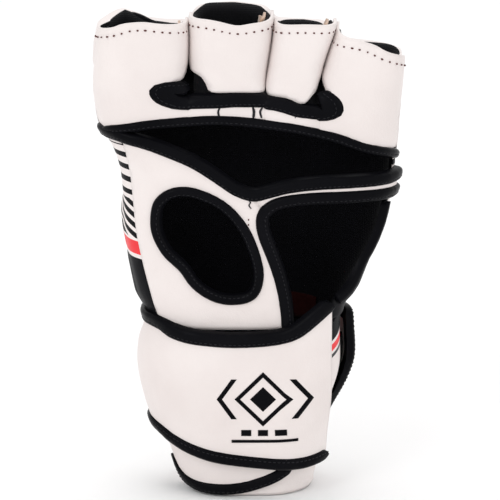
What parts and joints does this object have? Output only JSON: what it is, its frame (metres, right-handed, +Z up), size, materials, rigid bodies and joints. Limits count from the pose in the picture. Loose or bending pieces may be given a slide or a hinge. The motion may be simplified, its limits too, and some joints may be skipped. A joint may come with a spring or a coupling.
{
  "type": "mma glove",
  "caption": "Open-finger grappling glove for the left hand: padded back, open palm, thumb hole, bound edges and a wrap-round wrist strap with a peel-back closure.",
  "frame": {"origin": "middle of the glove's box at the height of the cuff's lower rim, on which it stands", "axes": "+Z up from the wrist to the fingertips, -Y out of the palm, -X towards the thumb"},
  "size_m": [0.146, 0.0732, 0.237],
  "materials": {
    "white_leather": "grained white leather, semi-matte",
    "black_leather": "smooth black binding leather, soft gloss",
    "tan_suede": "raw tan split leather",
    "lining": "black warp-knit lining",
    "foam": "closed-cell foam",
    "hook_loop": "black hook-and-loop tape",
    "print": "printed black mark",
    "label": "woven dark red label"
  },
  "bodies": {
    "hand": {"back_cover": "white_leather", "back_pad": "foam", "back_lining": "lining", "thumb_side_panel": "white_leather", "opening_side_binding": "black_leather", "thumb_panel": "white_leather", "thumb_hole_binding": "black_leather", "palm_opening_binding": "black_leather", "grip_strap": "white_leather", "lower_opening_binding": "black_leather", "cuff_palm": "white_leather", "cuff_palm_binding": "black_leather", "cuff_back": "white_leather", "cuff_lining": "lining", "wrist_band": "white_leather", "wrist_band_top_binding": "black_leather", "wrist_band_bottom_binding": "black_leather", "wrist_band_lining": "lining", "emblem_patch": "print", "loop_patch": "hook_loop", "inner_label": "label"},
    "fingers": {"finger_panel": "white_leather", "middle_sleeve": "white_leather", "ring_sleeve": "white_leather", "slot_binding": "black_leather", "finger_panel_binding": "black_leather", "index_lining": "lining", "middle_lining": "lining", "ring_lining": "lining", "pinky_lining": "lining", "index_pad": "foam", "middle_pad": "foam", "ring_pad": "foam", "pinky_pad": "foam", "finger_back_cover": "white_leather", "knuckle_lining": "lining", "index_middle_web": "tan_suede", "middle_ring_web": "tan_suede", "ring_pinky_web": "tan_suede"},
    "strap": {"strap_back": "white_leather", "strap_back_top_binding": "black_leather", "strap_back_bottom_binding": "black_leather"},
    "strap_tab": {"strap_tab": "white_leather", "strap_tab_binding": "black_leather", "hook_patch": "hook_loop"}
  },
  "joints": [
    {"name": "knuckle_fold", "type": "hinge", "parent": "hand", "child": "fingers", "pos_m": [0, -0.02295, 0.1666], "axis": [1, 0, 0], "range_deg": [0, 30], "stiffness_Nm_per_rad": 0.6},
    {"name": "strap_swing", "type": "hinge", "parent": "hand", "child": "strap", "pos_m": [-0.0562, -0.00245, 0.053], "axis": [0, 0, 1], "range_deg": [0, 110]},
    {"name": "tab_peel", "type": "hinge", "parent": "strap", "child": "strap_tab", "pos_m": [0.0147, 0.03185, 0.053], "axis": [0, 0, 1], "range_deg": [0, 100]}
  ]
}
